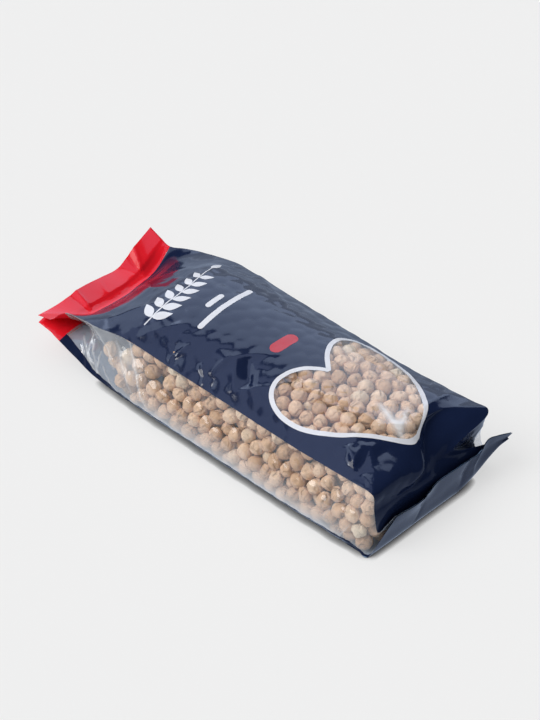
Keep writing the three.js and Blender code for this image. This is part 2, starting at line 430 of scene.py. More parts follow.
# %% Creases of the front panel: start, end, height and width
CREASES = [
    ((36.3, -3), (25.5, 17), 1.6, 2.0),
    ((18.7, -3), (25.5, 17), -1.3, 3.0),
    ((28.5, -3), (25.5, 17), -1.2, 2.0),
    ((-19, -3), (-20.5, 17), 1.6, 1.8),
    ((-24, -3), (-22, 18), -1.0, 3.0),
    ((-1, 2), (-2.5, 16), 0.35, 1.2),
    ((-51, 85), (-20, 112), 0.7, 3.0),
    ((-33.7, 122), (-49, 116), 1.2, 2.0),
    ((-36.8, 112), (-50, 122), -0.8, 1.8),
    ((-39, 136), (-50, 148), 1.4, 1.8),
    ((-44, 138), (-49, 152), -0.7, 1.8),
    ((-25, 149), (-43, 146), 1.0, 2.2),
    ((-20, 158), (-37, 172), -3.0, 6.0),
    ((-22, 150), (-44, 166), 0.7, 2.0),
    ((40, 80), (5, 87), 0.8, 4.0),
    ((52, 100), (33, 137), 0.9, 4.0),
    ((-46, 50), (-12, 92), 0.8, 3.5),
    ((20, 28), (-8, 66), 0.7, 4.0),
    ((-24, 257), (-48, 276), 1.3, 3.0),
    ((-27, 254), (-44, 259), 1.4, 3.2),
    ((-33, 248), (-45, 263), 2.0, 2.6),
    ((-20, 264), (-38, 268), -1.0, 2.5),
    ((8, 277), (22, 256), 0.8, 3.0),
    ((51, 253), (20, 260), 0.8, 3.5),
    ((-5, 270), (-30, 262), -0.6, 3.0),
    ((-44, 266), (-51, 281), 1.2, 1.6),
    ((-12, 252), (4, 266), 1.5, 1.6),
    ((6, 254), (1, 267), 1.3, 1.4),
    ((12, 316), (16, 348), 1.2, 2.5),
    ((20, 316), (25, 348), -1.0, 2.5),
    ((-18, 318), (-25, 348), 0.7, 2.0),
]

# %% Creases of the far and the near gusset, by (down, along)
SIDE_CREASES = (
    [
        ((2, 60), (30, 100), 1.0, 2.0), ((4, 268), (30, 250), 0.8, 2.5),
        ((24, 30), (44, 52), 1.3, 1.6), ((20, 50), (46, 60), 1.2, 1.6),
    ],
    [
        ((-2, 84), (38, 112), 2.2, 1.3), ((4, 74), (34, 98), 1.4, 1.2), ((2, 50), (26, 80), 1.4, 1.6),
        ((18, 34), (46, 50), 1.8, 1.5), ((24, 26), (36, 62), 1.6, 1.4),
        ((28, 42), (47, 72), -1.2, 2.2), ((34, 30), (44, 64), 1.8, 1.3),
        ((22, 60), (46, 62), 1.5, 1.3), ((30, 66), (48, 90), 1.4, 1.5),
        ((4, 264), (34, 252), 0.7, 2.0), ((26, 276), (46, 262), 1.2, 1.5),
    ],
)


# %% Crumple the front panel
def crumpled_front(front, along):
    """Height of the crumples over the front panel: strong at the ends and by the near crease."""
    strength = np.interp(
        along,
        [0, 20, 35, 85, 120, 225, 250, 300, 325],
        [0.15, 0.3, 0.65, 0.6, 0.25, 0.22, 0.9, 0.5, 0.3],
    )[:, None]
    edge = np.exp(-(SHARES * PANEL_WIDTH) / 9.0)[None, :]
    edge = edge + 0.3 * np.exp(-((1 - SHARES) * PANEL_WIDTH) / 9.0)[None, :]
    middle = np.clip((along - 95) / 30, 0, 1)[:, None] * np.clip((300 - along) / 20, 0, 1)[:, None]
    calm = 1.0 - 0.45 * np.clip((SHARES - 0.7) / 0.2, 0, 1)[None, :]
    fine = 0.35 * calm * np.interp(along, [70, 95, 235, 260], [1, 0.4, 0.4, 1])[:, None]
    height = strength * calm * (ridges(front, 26.0, 1) + fine * ridges(front, 11.0, 2))
    height += 0.25 * edge * middle * ridges(front, 14.0, 3)
    height += 0.5 * middle * noise_at(front, 45.0, 4) + 0.05 * middle * noise_at(front, 16.0, 12)
    height -= 0.3 * np.exp(-(((along - 14.5) / 0.8) ** 2))[:, None]
    for start, end, depth, width in CREASES:
        height += crease(start, end, depth, width)
    return height


# %% [markdown]
# The front panel's crumples carry the rest along. Where layers are sealed, the back panel and the
# gussets take over the front's movement. Where they are open, a gusset follows its two edges and
# adds bumps of its own, which are large only in the empty top, where the film hangs slack.

# %% Crumple the whole film
def crumpled(grid, starts):
    """The whole film with its crumples, moved along its normal. Sealed layers move together."""
    normal = film_normals(grid)
    along = lengths_along(grid, ACROSS // 2)
    sealed = np.interp(
        np.arange(len(grid)), starts, [1, 1, 1, 0.7, 0.25, 0, 0, 0, 0, 0, 0, 0, 0.4, 1, 1]
    )[:, None, None]
    move = np.zeros_like(grid)
    front = crumpled_front(grid[:, FRONT], along)[..., None] * normal[:, FRONT]
    back = 0.15 * (ridges(grid[:, BACK], 20.0, 5) - 0.3)[..., None] * normal[:, BACK]
    back = back + (front[:, ::-1] - back) * sealed
    down = np.linspace(0, 1, PATH + 2)[None, :, None]
    window = np.sin(math.pi * down) ** 0.6
    fold = FOLD_STEPS - np.abs(np.arange(PATH + 2) - FOLD_STEPS - 1)
    slack = np.interp(along, [0, 30, 60, 85, 120, 235, 270, 300], [1, 4, 3, 1.4, 0.3, 0.3, 0.8, 0.6])
    panel = np.stack(np.broadcast_arrays(down[..., 0] * GUSSET_HEIGHT, along[:, None]), axis=2)
    for columns, first, matching, seed in (
        (FAR, 0, front[:, ACROSS - 1 - np.maximum(fold, 0)], 6),
        (NEAR[::-1], 1, front[:, np.maximum(fold, 0)], 8),
    ):
        points = grid[:, columns]
        bumps = slack[:, None] * (ridges(points, 16.0, seed) + 0.5 * ridges(points, 7.0, seed + 1))
        for start, end, depth, width in SIDE_CREASES[first]:
            bumps = bumps + crease(start, end, depth, width, panel)
        top = matching[:, :1] * (1 - down) ** 4
        bottom = back[:, [0 if first == 0 else -1]] * down**4
        own = bumps[..., None] * normal[:, columns] * window + top + bottom
        move[:, columns] = own + (matching - own) * sealed
    move[:, BACK] = back
    move[:, FRONT] = front
    made = grid + move
    made[:, :, 2] = np.maximum(made[:, :, 2], 0)
    return made


smooth_film = film
film = crumpled(smooth_film, section_starts)
farthest = np.linalg.norm(film - smooth_film, axis=2).max()
print("crumples move the film by up to", round(farthest, 2), "mm")

# %% [markdown]
# Two films make the pouch. Printed film is ink under gloss: a plastic shader with a smooth shine,
# and a paler colour on its inside, where the ink is seen from behind. Clear film could be a glass
# shader, but that bends light as a thick block does. A thin sheet lets light straight through and
# mirrors a little, more at a slant, so it is mixed from a transparent and a glossy shader. Film
# turns milky where it is creased. An attribute of the mesh, its haze and reflection, says how much.
# The same attribute also carries painted reflections and a painted glint, mixed in as white.

# %% Start a material
def add_node(tree, kind, inputs=None, **settings):
    """A node of a kind, with its settings and with values for its inputs."""
    node = tree.nodes.new(kind)
    for name, value in settings.items():
        setattr(node, name, value)
    for name, value in (inputs or {}).items():
        node.inputs[name].default_value = value
    return node


def join(tree, source, output, target, name):
    """A link from an output of one node to an input of another."""
    tree.links.new(source.outputs[output], target.inputs[name])


def new_material(name):
    """A material that holds nothing but its output."""
    material = bpy.data.materials.new(name)
    material.use_nodes = True
    tree = material.node_tree
    tree.nodes.clear()
    return material, tree, add_node(tree, "ShaderNodeOutputMaterial")


def principled(tree, colour, roughness):
    """The general shader, with a colour and a roughness."""
    inputs = {"Base Color": (*colour, 1.0), "Roughness": roughness}
    return add_node(tree, "ShaderNodeBsdfPrincipled", inputs)


# %% Unevenness of blown film
BUMP_SCALE = 160.0
BUMP_HEIGHT = 0.00006


def film_bump(tree):
    """Fine unevenness of blown film, in object coordinates."""
    place = add_node(tree, "ShaderNodeTexCoord")
    texture = add_node(tree, "ShaderNodeTexNoise", {"Scale": BUMP_SCALE, "Detail": 3.0})
    bump = add_node(tree, "ShaderNodeBump", {"Strength": 1.0, "Distance": BUMP_HEIGHT})
    join(tree, place, "Object", texture, "Vector")
    join(tree, texture, "Fac", bump, "Height")
    return bump


# %% Printed film
def printed_film(name, colour, inside, roughness=0.12):
    """Glossy printed film, with a paler inside where the ink is seen through the film."""
    material, tree, output = new_material(name)
    front = principled(tree, colour, roughness)
    back = principled(tree, inside, roughness)
    shine_and_shade = add_node(tree, "ShaderNodeAttribute", attribute_name="shine_and_shade")
    bump = film_bump(tree)
    side = add_node(tree, "ShaderNodeNewGeometry")
    mix = add_node(tree, "ShaderNodeMixShader")
    join(tree, shine_and_shade, "Fac", front, "Specular IOR Level")
    join(tree, bump, "Normal", front, "Normal")
    join(tree, side, "Backfacing", mix, "Fac")
    join(tree, front, "BSDF", mix, 1)
    join(tree, back, "BSDF", mix, 2)
    join(tree, mix, "Shader", output, "Surface")
    return material


# %% Clear film
STRAIGHT_GLOSS = 0.08
SLANT_POWER = 5.0


def thin_gloss(tree):
    """Share of light that a thin clear sheet reflects: the same from both sides, more at a slant."""
    weight = add_node(tree, "ShaderNodeLayerWeight", {"Blend": 0.5})
    power = add_node(tree, "ShaderNodeMath", {1: SLANT_POWER}, operation="POWER")
    ends = {1: 1.0 - STRAIGHT_GLOSS, 2: STRAIGHT_GLOSS}
    share = add_node(tree, "ShaderNodeMath", ends, operation="MULTIPLY_ADD")
    join(tree, weight, "Facing", power, 0)
    join(tree, power, "Value", share, 0)
    return share


def clear_film(name):
    """One thin clear sheet: mostly see-through, hazy where creased, white where reflections are
    painted, gloss on top.
    """
    material, tree, output = new_material(name)
    through = add_node(tree, "ShaderNodeBsdfTransparent", {"Color": (0.985, 0.99, 1.0, 1.0)})
    haze_and_reflection = add_node(tree, "ShaderNodeBsdfDiffuse", {"Color": (0.93, 0.94, 0.96, 1.0)})
    gloss = add_node(tree, "ShaderNodeBsdfGlossy", {"Roughness": 0.07})
    amount = add_node(tree, "ShaderNodeAttribute", attribute_name="haze_and_reflection")
    hazy = add_node(tree, "ShaderNodeMixShader")
    mix = add_node(tree, "ShaderNodeMixShader")
    share = thin_gloss(tree)
    bump = film_bump(tree)
    join(tree, amount, "Fac", hazy, "Fac")
    join(tree, bump, "Normal", gloss, "Normal")
    join(tree, through, "BSDF", hazy, 1)
    join(tree, haze_and_reflection, "BSDF", hazy, 2)
    join(tree, share, "Value", mix, "Fac")
    join(tree, hazy, "Shader", mix, 1)
    join(tree, gloss, "BSDF", mix, 2)
    join(tree, mix, "Shader", output, "Surface")
    return material


# %% The film materials
NAVY = (0.0078, 0.0140, 0.043)
NAVY_INSIDE = (0.20, 0.29, 0.43)
RED = (0.77, 0.011, 0.022)
RED_INSIDE = (0.62, 0.012, 0.022)
PATCH_RED = (0.47, 0.026, 0.034)
navy_film_material = printed_film("navy film", NAVY, NAVY_INSIDE)
red_film_material = printed_film("red film", RED, RED_INSIDE)
red_patch_material = printed_film("red patch", PATCH_RED, RED_INSIDE)
clear_film_material = clear_film("clear film")
print("film materials made")

# %% [markdown]
# The film is one grid of points. Each sheet is cut from it by its loops and columns, so that
# neighbouring sheets share their edges. Every sheet replaces the solid named bag, rides on the one
# body and says which finish it has. Printed sheets carry a number at each point, their shine, that
# says how strongly they mirror: least on the bottom end, which stays nearly black in the photograph.

# %% Sheets of film as meshes
# The low shine on the bottom end is painted shade: that end lies in shadow, and it is made to mirror
# less so that it stays nearly black.
SECTION_SHINE_AND_SHADE = [
    0.45, 0.4, 0.33, 0.36, 0.45, 0.5, 0.5, 0.5, 0.5, 0.5, 0.15, 0.03, 0.3, 0.65, 0.7,
]
SHINE_AND_SHADE = np.interp(np.arange(len(film)), section_starts, SECTION_SHINE_AND_SHADE)


def grid_faces(corner):
    """Quads between neighbours in a grid of vertex numbers, all wound the same way."""
    return np.stack(
        [corner[:-1, :-1], corner[1:, :-1], corner[1:, 1:], corner[:-1, 1:]], axis=2
    ).reshape(-1, 4)


def film_sheet(name, rows, columns, material, keep=None, haze_and_reflection=None, shine_and_shade=SHINE_AND_SHADE):
    """A piece of the film: the grid of these loops and columns, without the faces left out."""
    points = film[rows][:, columns]
    tall, wide = points.shape[:2]
    quads = grid_faces(np.arange(tall * wide).reshape(tall, wide))
    if keep is not None:
        quads = quads[keep.reshape(-1)]
    used, inverse = np.unique(quads, return_inverse=True)
    vertices = points.reshape(-1, 3)[used] * MM
    mesh = bpy.data.meshes.new(name)
    mesh.from_pydata(vertices.tolist(), [], inverse.reshape(-1, 4).tolist())
    mesh.polygons.foreach_set("use_smooth", [True] * len(mesh.polygons))
    mesh.materials.append(material)
    mesh.update()
    if haze_and_reflection is not None:
        attribute = mesh.attributes.new("haze_and_reflection", "FLOAT", "POINT")
        attribute.data.foreach_set("value", haze_and_reflection[rows].reshape(-1)[used])
    else:
        attribute = mesh.attributes.new("shine_and_shade", "FLOAT", "POINT")
        shine_and_shade = np.repeat(shine_and_shade[rows, None], wide, axis=1)
        attribute.data.foreach_set("value", shine_and_shade.reshape(-1)[used])
    piece = new_object(name, mesh)
    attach(piece, "root")
    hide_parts("bag")
    print(name, "has", 2 * len(quads), "triangles")


# %% [markdown]
# The bag is filled before the film is cut into pieces, because the film follows the chickpeas. They
# could be dropped in by a physics simulation, but that takes minutes. Instead 1,530 balls start at
# random places in the pouch and grow to their size, while they push each other apart and the film
# holds them in. That leaves them as tightly and as unevenly packed as poured chickpeas.

# %% Distance to the film
TO_MIDDLE = 129.91
PEA_RADIUS = 4.78
PEA_COUNT = 1530
FILL_END = 205.0 - TO_MIDDLE


def film_walls():
    """The film as a tree for finding the nearest wall."""
    tall, wide = film.shape[:2]
    corner = np.arange(tall * wide).reshape(tall, wide)
    beside = np.roll(corner, -1, axis=1)
    quads = np.stack([corner[:-1], corner[1:], beside[1:], beside[:-1]], axis=2).reshape(-1, 4)
    return BVHTree.FromPolygons(film.reshape(-1, 3).tolist(), quads.tolist())


def wall_distance(walls, place):
    """Distance to the film, positive inside, and the direction that leads inwards."""
    spot, normal, _, distance = walls.find_nearest(place)
    inside = (place - spot).dot(normal) < 0
    inward = (place - spot) / max(distance, 1e-6)
    if inside:
        return distance, inward
    return -distance, -inward


# %% Pack the chickpeas
PACK_STEPS = 130
START_CLEARANCE = 3.0
TOUCH = 0.98
WALL_PULL = 0.15
DRIFT = 0.02


def pack_peas(walls):
    """Places and radii of balls that grow until they fill the pouch up to FILL_END."""
    rng = np.random.default_rng(5)
    radii = PEA_RADIUS * np.clip(rng.normal(1.0, 0.065, PEA_COUNT), 0.84, 1.15)
    low = film.reshape(-1, 3).min(0)
    high = film.reshape(-1, 3).max(0)
    high[1] = FILL_END
    places = []
    while len(places) < PEA_COUNT:
        place = Vector(rng.uniform(low, high))
        if wall_distance(walls, place)[0] > START_CLEARANCE:
            places.append(tuple(place))
    places = np.array(places)
    clear = np.zeros(PEA_COUNT)
    for step in range(PACK_STEPS):
        grown = radii * min(1.0, 0.6 + 0.5 * step / (0.6 * PACK_STEPS))
        squares = (places**2).sum(1)
        apart = squares[:, None] + squares[None, :] - 2 * places @ places.T
        reach = (grown[:, None] + grown[None, :]) ** 2
        first, second = np.nonzero(np.triu(apart < reach, 1))
        line = places[second] - places[first]
        length = np.maximum(np.linalg.norm(line, axis=1), 1e-3)
        push = 0.48 * (grown[first] + grown[second] - length)[:, None] * line / length[:, None]
        np.add.at(places, second, push)
        np.add.at(places, first, -push)
        places[:, 1] -= np.maximum(0, places[:, 1] - FILL_END) * 0.3
        places[:, 1] -= DRIFT
        clear -= 1.0
        for k in np.nonzero((clear < 2 * PEA_RADIUS) | (step % 12 == 0))[0]:
            place = Vector(places[k])
            clear[k], inward = wall_distance(walls, place)
            if clear[k] < 2 * PEA_RADIUS:
                place -= inward * WALL_PULL
                clear[k] -= WALL_PULL
            if clear[k] < TOUCH * grown[k]:
                place += inward * (TOUCH * grown[k] - clear[k])
            places[k] = place
    overlap = (grown[first] + grown[second] - length).clip(0)
    print("pairs touching:", len(first), "mean overlap", round(overlap.mean(), 2), "mm")
    return places, radii


walls = film_walls()
pea_places, pea_radii = pack_peas(walls)

# %% Three loose chickpeas in the empty top, and none in the far pocket
LOOSE_PEAS = np.array([(-48.6, 214.5, 24.0), (-47.6, 211.0, 16.0), (-43.6, 216.0, 12.0)])
LOOSE_RADII = [4.9, 4.6, 4.5]
POCKET_X, POCKET_Y = 24.0, -109.0
pea_places = np.vstack([pea_places, LOOSE_PEAS - (0, TO_MIDDLE, 0)])
pea_radii = np.append(pea_radii, LOOSE_RADII)
in_pocket = (pea_places[:, 0] > POCKET_X) & (pea_places[:, 1] < POCKET_Y)
pea_places, pea_radii = pea_places[~in_pocket], pea_radii[~in_pocket]
print("chickpeas packed up to y =", round(pea_places[:, 1].max() + TO_MIDDLE), "mm from the end")

# %% [markdown]
# Where chickpeas press on the film it is tight, and between them it sinks a little, which gives the
# clear sides their uneven shine. A cloth simulation would find this slowly. Here every point of the
# film looks for its nearest chickpeas and moves inwards by a share of the gap to them.

# %% Let the film sink between the chickpeas
pea_tree = KDTree(len(pea_places))
for index, place in enumerate(pea_places):
    pea_tree.insert(place, index)
pea_tree.balance()
WIDEST_GAP = 12.0


def gap_to_peas(point):
    """Distance from a point of the film to the nearest chickpea's surface."""
    found = pea_tree.find_n(point, 3)
    return min(distance - pea_radii[index] for _, index, distance in found)


def sunk(grid, share, most):
    """The film moved inwards over the gaps between chickpeas."""
    made = grid.copy()
    normal = film_normals(grid)
    rows = range(section_starts[4], section_starts[11])
    for i in rows:
        for j in np.concatenate([FRONT, FAR[1:-1], NEAR[1:-1]]):
            gap = gap_to_peas(grid[i, j])
            if 0 < gap < WIDEST_GAP:
                fade = min(1.0, 2 * (WIDEST_GAP - gap) / WIDEST_GAP)
                depth = min(share[j] * gap, most[j]) * fade
                made[i, j] -= depth * normal[i, j]
    made[:, :, 2] = np.maximum(made[:, :, 2], 0)
    return made


sink_share = np.full(film.shape[1], 0.16)
sink_most = np.full(film.shape[1], 0.45)
sink_share[FRONT] = 0.10
sink_most[FRONT] = 0.3
film = sunk(film, sink_share, sink_most)
print("film sinks by up to", sink_most.max(), "mm at the clear sides")

# %% [markdown]
# Places on the front panel are given by two numbers: across it from the middle, and along it from
# the header's edge. The window is a heart whose tip points at the bottom end. Its outline is drawn
# as two smooth curves that meet in a sharp notch. Faces of the film whose middle lies inside the
# outline become clear film, and the pale printed line covers the steps between the two.

# %% Window outline
HEART = [
    (1, 271.5), (9, 269.8), (17.6, 263.4), (27.2, 251.9), (35.3, 239.9), (42, 227.8),
    (45.4, 215), (46.2, 203.6), (44.0, 193.5), (38, 186.6), (30, 184.3), (21.5, 185.6),
    (11.5, 191.5), (1.6, 201.8), (-4.4, 193.4), (-12.7, 186.8), (-24.1, 184), (-34, 188.7),
    (-39.6, 198.6), (-41, 210.4), (-39.4, 220.8), (-36.2, 229.5), (-31.4, 239.2),
    (-25.6, 247.5), (-20, 255.3), (-13.8, 263.4), (-6.2, 269.3), (1, 271.5),
]
NOTCH = 13
OUTLINE_WIDTH = 3.0
OUTLINE_POINTS = 321


def heart_line():
    """Two smooth curves that meet in a sharp notch, at even steps."""
    first = smooth_line(HEART[: NOTCH + 1], 20)
    second = smooth_line(HEART[NOTCH:], 20)
    line = np.vstack([first, second[1:]])
    far = np.concatenate([[0.0], np.cumsum(np.linalg.norm(np.diff(line, axis=0), axis=1))])
    steps = np.linspace(0, far[-1], OUTLINE_POINTS)
    return np.stack([np.interp(steps, far, line[:, k]) for k in range(2)], axis=1)


def inside_shape(points, outline):
    """Which points lie inside a closed outline, by counting the sides crossed to the right."""
    crossed = np.zeros(points.shape[:-1], bool)
    for (x1, y1), (x2, y2) in zip(outline[:-1], outline[1:]):
        if y1 == y2:
            continue
        between = (points[..., 1] > min(y1, y2)) & (points[..., 1] <= max(y1, y2))
        side = x1 + (points[..., 1] - y1) * (x2 - x1) / (y2 - y1)
        crossed ^= between & (points[..., 0] < side)
    return crossed


heart = heart_line()
centres = (PANEL[:-1, :-1] + PANEL[1:, :-1] + PANEL[1:, 1:] + PANEL[:-1, 1:]) / 4
window = inside_shape(centres, heart)
print("window:", window.sum(), "faces,", np.ptp(heart, axis=0).round(), "mm across and along")

# %% [markdown]
# Clear film isn't equally clear everywhere. It is milky where it was folded: in the empty top and
# along its creases. Painted reflections whiten it as well: low on the sides, where the film would
# mirror the white floor, in a soft patch on the near side, and faintly over the window, more towards
# its far side. A forked white line near the window's tip is a painted glint. A strip of navy film
# from the back panel comes up round each ground edge. It is widened as painted contact shadow, and
# on the near side it is also dulled.

# %% Haze and painted reflection of the gussets
down = np.linspace(0, 1, PATH + 2)
creased = np.interp(ALONG, [0, 70, 100, 240, 275], [0.22, 0.22, 0.05, 0.05, 0.12])[:, None]
# Painted reflection: a whitish veil low on the sides, where the film would mirror the white floor.
painted_floor_reflection = 0.58 * np.clip((down - 0.38) / 0.5, 0, 1) ** 1.5
painted_floor_reflection = painted_floor_reflection + 0.28 * np.clip((down - 0.74) / 0.2, 0, 1)
painted_floor_reflection = painted_floor_reflection * np.interp(ALONG, [70, 115, 250, 275], [0.1, 1, 1, 0.2])[:, None]
side_haze_and_reflection = creased * (0.6 + 0.8 * (1 - down)) + painted_floor_reflection
side_panel = np.stack(np.meshgrid(down * GUSSET_HEIGHT, ALONG), axis=2)
# Painted reflection: a soft whitish patch in the upper part of the near side.
near_haze_and_reflection = side_haze_and_reflection + 0.22 * np.exp(
    -(((ALONG[:, None] - 92) / 14) ** 2) - (((down - 0.35) / 0.22) ** 2)
)
for start, end, depth, width in SIDE_CREASES[1]:
    near_haze_and_reflection += crease(start, end, 0.22 * abs(depth), 0.7, side_panel)
print("haze of the near gusset, up to", near_haze_and_reflection.max().round(2))

# %% Painted reflection and glint of the window
# Painted glint: white along a forked line near the window's tip.
FORKED_GLINT = [
    ((2, 240), (-6, 261), 0.72), ((13, 254), (-6, 261), 0.62), ((-2, 255), (-10, 267), 0.62),
]
GLINT_WIDTH = 2.1
MOST_WINDOW_REFLECTION = 0.75
# Painted reflection: a faint white veil over the window, growing towards its far side.
window_painted_reflection = np.tile(np.interp(SHARES, [0.3, 0.8], [0.05, 0.11]), (len(film), 1))
for start, end, glint_strength in FORKED_GLINT:
    window_painted_reflection += crease(start, end, glint_strength, GLINT_WIDTH)
window_painted_reflection = np.minimum(window_painted_reflection, MOST_WINDOW_REFLECTION)
print("haze of the window, up to", window_painted_reflection.max().round(2))

# %% Navy strips along the ground, widened as painted contact shadow, in steps down a gusset
# Partly the back panel's own curl, partly painted contact shadow: the strips are wider than the curl.
edge_and_shadow_width = np.interp(ALONG, [0, 70, 110, 270, 285, 345], [7, 7, 8, 8, 6, 6]).round()
from_back = PATH - np.arange(PATH + 1)
navy_edge_and_shadow = from_back[None, :] < edge_and_shadow_width[:-1, None]
rolled = np.interp(
    np.arange(len(film) - 1), section_starts, [0] * 9 + [0, 14, 26, 42, 55, 55]
).round()
navy_edge_far = navy_edge_and_shadow | (np.arange(PATH + 1)[None, :] < rolled[:, None])
print("navy strips:", int(edge_and_shadow_width.min()), "to", int(edge_and_shadow_width.max()), "steps high")

# %% Cut the film into pieces
# The near navy strip mirrors almost nothing, as painted contact shadow along the ground edge.
CONTACT_SHADOW_SHINE = 0.04
border = section_starts[2]
PRINTED = slice(border, len(film))
HEADER = slice(0, border + 1)
film_sheet("navy_front", PRINTED, FRONT, navy_film_material, ~window[border:])
film_sheet("navy_back", PRINTED, BACK, navy_film_material)
film_sheet(
    "navy_edge_near", PRINTED, NEAR, navy_film_material, navy_edge_and_shadow[border:, ::-1],
    shine_and_shade=np.minimum(SHINE_AND_SHADE, CONTACT_SHADOW_SHINE),
)
film_sheet("navy_edge_far", PRINTED, FAR, navy_film_material, navy_edge_far[border:])
film_sheet(
    "near_gusset", PRINTED, NEAR, clear_film_material,
    ~navy_edge_and_shadow[border:, ::-1], near_haze_and_reflection[:, ::-1],
)
film_sheet(
    "far_gusset", PRINTED, FAR, clear_film_material,
    ~navy_edge_far[border:], side_haze_and_reflection,
)
film_sheet(
    "window_film", PRINTED, FRONT, clear_film_material, window[border:], window_painted_reflection
)
around = np.append(np.arange(film.shape[1]), 0)
film_sheet("header", HEADER, around, red_film_material)
print("film pieces made")

# %% [markdown]
# Ink could be a picture laid over the film, but a picture blurs up close. Here each printed shape is
# made of narrow strips of mesh that follow the film just above its surface, so that its edges stay
# sharp and it crumples with the film. A sprig, two bars and a plain red patch fill the panel.

# %% Lay points on the film
FRONT_NORMALS = film_normals(film)[:, FRONT]


def on_film(points, lift):
    """Points on the front panel for (across, along) places, raised by lift along its normal."""
    points = np.asarray(points, float)
    row_at = np.interp(points[..., 1], ALONG, np.arange(len(ALONG)))
    column_at = np.interp(points[..., 0] / PANEL_WIDTH + 0.5, SHARES, np.arange(ACROSS))
    i = np.minimum(row_at.astype(int), len(ALONG) - 2)
    j = np.minimum(column_at.astype(int), ACROSS - 2)
    u = (row_at - i)[..., None]
    v = (column_at - j)[..., None]

    def blend(grid):
        top = grid[i, j] * (1 - v) + grid[i, j + 1] * v
        low = grid[i + 1, j] * (1 - v) + grid[i + 1, j + 1] * v
        return top * (1 - u) + low * u

    normal = blend(FRONT_NORMALS)
    normal /= np.linalg.norm(normal, axis=-1, keepdims=True)
    return blend(film[:, FRONT]) + lift * normal


# %% Strips of ink
def strip(spine, half_widths, across=5, closed=False):
    """A flat strip along a spine of (across, along) places, as a grid of such places."""
    spine = np.asarray(spine, float)
    if closed:
        ahead = np.roll(spine[:-1], -1, axis=0) - np.roll(spine[:-1], 1, axis=0)
        ahead = np.vstack([ahead, ahead[:1]])
    else:
        ahead = np.gradient(spine, axis=0)
    ahead /= np.linalg.norm(ahead, axis=1, keepdims=True)
    side = np.stack([-ahead[:, 1], ahead[:, 0]], axis=1)
    offset = np.linspace(-1, 1, across)[None, :, None] * np.asarray(half_widths)[:, None, None]
    return spine[:, None, :] + side[:, None, :] * offset


INK_LIFT = 0.07
INK_SHINE = 0.5


def print_piece(name, strips, material):
    """Flat strips of ink as one piece, lying on the front panel and facing out."""
    vertices, faces = [], []
    for grid in strips:
        tall, wide = grid.shape[:2]
        corner = len(vertices) + np.arange(tall * wide).reshape(tall, wide)
        vertices.extend((on_film(grid, INK_LIFT).reshape(-1, 3) * MM).tolist())
        faces.extend(grid_faces(corner).tolist())
    mesh = bpy.data.meshes.new(name)
    mesh.from_pydata(vertices, [], faces)
    mesh.update()
    out = FRONT_NORMALS[20:-40].mean((0, 1))
    for polygon in mesh.polygons:
        if polygon.normal.dot(Vector(out)) < 0:
            polygon.flip()
    mesh.polygons.foreach_set("use_smooth", [True] * len(mesh.polygons))
    mesh.materials.append(material)
    attribute = mesh.attributes.new("shine_and_shade", "FLOAT", "POINT")
    attribute.data.foreach_set("value", [INK_SHINE] * len(vertices))
    mesh.update()
    piece = new_object(name, mesh)
    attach(piece, "root")
    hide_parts("bag")
    print(name, "has", 2 * len(faces), "triangles")


# %% Bars, leaves and a sprig
def bar(start, end, half_width, steps=40):
    """A straight strip with round ends."""
    t = np.linspace(-1, 1, steps)
    start, end = np.array(start, float), np.array(end, float)
    length = np.linalg.norm(end - start)
    share = (np.sin(t * math.pi / 2) + 1) / 2
    spine = start + (end - start) * share[:, None]
    from_end = length * np.minimum(share, 1 - share)
    short = np.maximum(half_width - from_end, 0)
    return strip(spine, np.sqrt(np.maximum(half_width**2 - short**2, 1e-4)), 9)


def leaf(start, end, half_width, steps=18):
    """A strip that swells in the middle and comes to a point."""
    t = np.linspace(0, 1, steps)
    start, end = np.array(start, float), np.array(end, float)
    spine = start + (end - start) * t[:, None]
    return strip(spine, half_width * np.sin(math.pi * t**0.8) + 0.02, 7)


def sprig(start, end, pairs, leaf_length, leaf_width):
    """A bowed stem with leaves in pairs and one at its tip."""
    start, end = np.array(start, float), np.array(end, float)
    t = np.linspace(0, 1, 60)
    ahead = (end - start) / np.linalg.norm(end - start)
    side = np.array([-ahead[1], ahead[0]])
    bow = 2.5 * np.sin(math.pi * t)[:, None]
    stem = start + (end - start) * t[:, None] + side * bow
    parts = [strip(stem, np.full(60, 0.45), 3)]
    for k in range(pairs):
        at = 6 + round(48 * k / pairs)
        size = 1.0 - 0.35 * k / pairs
        for turn in (-1, 1):
            out = ahead * 0.62 + turn * side * 0.78
            foot = stem[at] + turn * side * 0.5
            parts.append(leaf(foot, foot + out * leaf_length * size, leaf_width * size))
    parts.append(leaf(stem[-1], stem[-1] + ahead * leaf_length * 0.8, leaf_width * 0.8))
    return parts


# %% Print the front panel
PALE = (0.66, 0.67, 0.72)
PALE_INSIDE = (0.5, 0.53, 0.58)
pale_print_material = printed_film("pale print", PALE, PALE_INSIDE, 0.16)
outline = strip(heart, np.full(len(heart), OUTLINE_WIDTH / 2), 5, closed=True)
print_piece("window_outline", [outline], pale_print_material)
sprig_print = sprig((-38, 87), (27, 82), 6, 13.0, 3.1)
bars = [bar((-6, 109.5), (9, 109), 1.9), bar((-22, 118.5), (26, 116.5), 1.9)]
print_piece("plain_print", [*sprig_print, *bars], pale_print_material)
print_piece("red_patch", [bar((-9.2, 166.2), (11, 167.0), 4.2)], red_patch_material)
print("print pieces made")

# %% [markdown]
# Chickpeas aren't balls. Each has a beak, a furrow that runs from the beak over its crown, and flat
# or hollow places where it dried. Five kinds are modelled, so that neighbours differ, each from a
# ball whose radius is changed point by point. A chickpea has few faces, because there are hundreds.

# %% A ball with few faces
CELLS = 3


